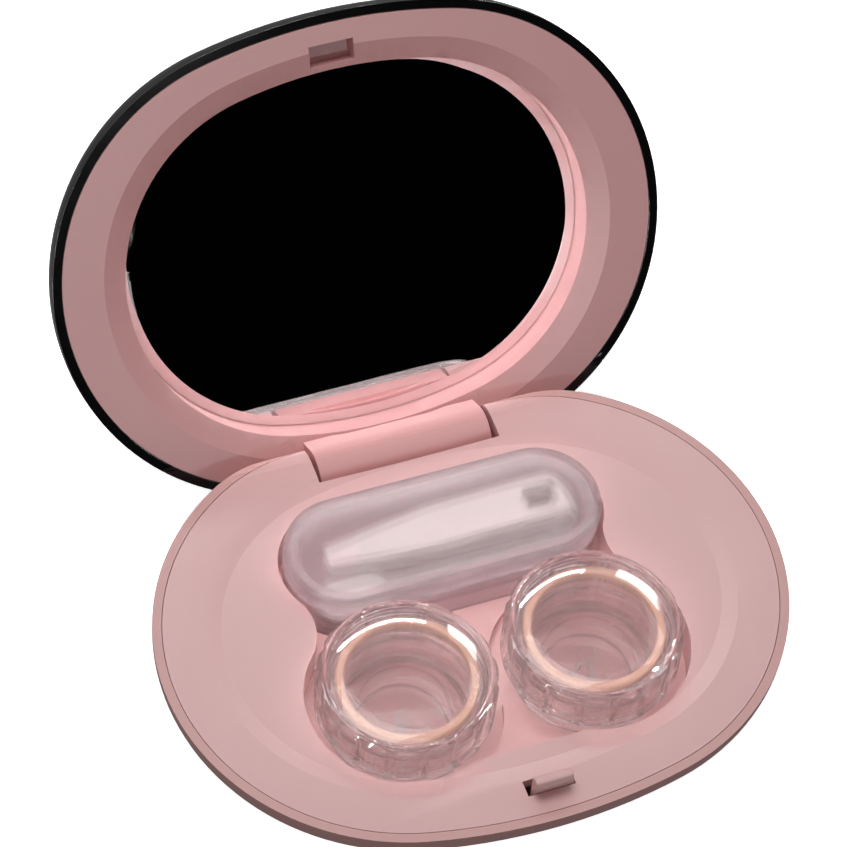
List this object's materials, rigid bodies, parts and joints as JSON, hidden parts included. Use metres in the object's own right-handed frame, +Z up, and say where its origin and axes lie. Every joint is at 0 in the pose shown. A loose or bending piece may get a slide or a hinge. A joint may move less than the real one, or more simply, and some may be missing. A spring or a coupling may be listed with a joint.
{
  "type": "contact lens case",
  "caption": "Oval flip-top travel case for contact lenses: mirror in the lid, clear screw-top pots, frosted tool box with tweezers and applicator, push-button latch.",
  "frame": {"origin": "centre of the flat face that the base rests on", "axes": "+X right along the hinge as seen from the front, +Y from the latch to the hinge, +Z up from the table"},
  "size_m": [0.0968, 0.1172, 0.0663],
  "materials": {
    "shell_plastic": "satin moulded plastic",
    "pink_plastic": "satin moulded plastic",
    "steel": "plain drawn wire",
    "black_gloss": "high gloss",
    "mirror": "silvered, bevelled edge",
    "tape": "foam adhesive sheet",
    "clear_acrylic": "clear gloss",
    "peach_seal": "soft satin",
    "frosted_plastic": "frosted translucent",
    "white_plastic": "satin moulded plastic",
    "soft_silicone": "translucent soft"
  },
  "bodies": {
    "base": {"lower_shell": "shell_plastic", "inner_tray": "pink_plastic", "hinge_pin": "steel", "latch_spring": "steel"},
    "latch": {"push_button": "shell_plastic", "latch_hook": "pink_plastic"},
    "lid": {"lid_frame": "pink_plastic", "lid_cover": "black_gloss", "lid_rear_trim": "pink_plastic", "mirror_glass": "mirror", "mirror_tape": "tape"},
    "left_cup": {"left_cup": "clear_acrylic"},
    "left_gasket": {"left_gasket": "peach_seal"},
    "left_cap": {"left_cap": "clear_acrylic"},
    "right_cup": {"right_cup": "clear_acrylic"},
    "right_gasket": {"right_gasket": "peach_seal"},
    "right_cap": {"right_cap": "clear_acrylic"},
    "tool_box": {"tool_box_base": "frosted_plastic"},
    "tool_box_lid": {"tool_box_lid": "frosted_plastic"},
    "tweezers": {"tweezers": "white_plastic", "tweezer_tips": "soft_silicone"},
    "applicator": {"applicator_stick": "white_plastic", "applicator_tip": "soft_silicone"}
  },
  "joints": [
    {"name": "lid_hinge", "type": "hinge", "parent": "base", "child": "lid", "pos_m": [0, 0.032, 0.0111], "axis": [-1, 0, 0], "range_deg": [-124.6, 0]},
    {"name": "button_press", "type": "slide", "parent": "base", "child": "latch", "axis": [0, 1, 0], "range_m": [0, 0.00115], "stiffness_N_per_m": 100, "deforming": ["latch_spring"]},
    {"name": "left_pot_lift", "type": "slide", "parent": "base", "child": "left_cup", "axis": [0, 0, 1], "range_m": [0, 0.03]},
    {"name": "left_cap_rise", "type": "slide", "parent": "left_cup", "child": "left_gasket", "axis": [0, 0, 1], "range_m": [0, 0.0064]},
    {"name": "left_cap_turn", "type": "hinge", "parent": "left_gasket", "child": "left_cap", "pos_m": [-0.0147, -0.011, 0.015], "axis": [0, 0, 1], "range_deg": [0, 720]},
    {"name": "right_pot_lift", "type": "slide", "parent": "base", "child": "right_cup", "axis": [0, 0, 1], "range_m": [0, 0.03]},
    {"name": "right_cap_rise", "type": "slide", "parent": "right_cup", "child": "right_gasket", "axis": [0, 0, 1], "range_m": [0, 0.0064]},
    {"name": "right_cap_turn", "type": "hinge", "parent": "right_gasket", "child": "right_cap", "pos_m": [0.0147, -0.011, 0.015], "axis": [0, 0, 1], "range_deg": [0, 720]},
    {"name": "tool_box_lift", "type": "slide", "parent": "base", "child": "tool_box", "axis": [0, 0, 1], "range_m": [0, 0.02]},
    {"name": "box_lid_lift", "type": "slide", "parent": "tool_box", "child": "tool_box_lid", "axis": [0, 0, 1], "range_m": [0, 0.03]},
    {"name": "tweezers_lift", "type": "slide", "parent": "tool_box", "child": "tweezers", "axis": [0, 0, 1], "range_m": [0, 0.018]},
    {"name": "applicator_lift", "type": "slide", "parent": "tool_box", "child": "applicator", "axis": [0, 0, 1], "range_m": [0, 0.012]}
  ],
  "couplings": [
    {"joint": "left_cap_turn", "follows": "left_cap_rise", "rad_per_m": 1963.5},
    {"joint": "right_cap_turn", "follows": "right_cap_rise", "rad_per_m": 1963.5},
    {"joint": "tweezers_lift", "follows": "box_lid_lift", "ratio": 0.6},
    {"joint": "applicator_lift", "follows": "box_lid_lift", "ratio": 0.4}
  ]
}
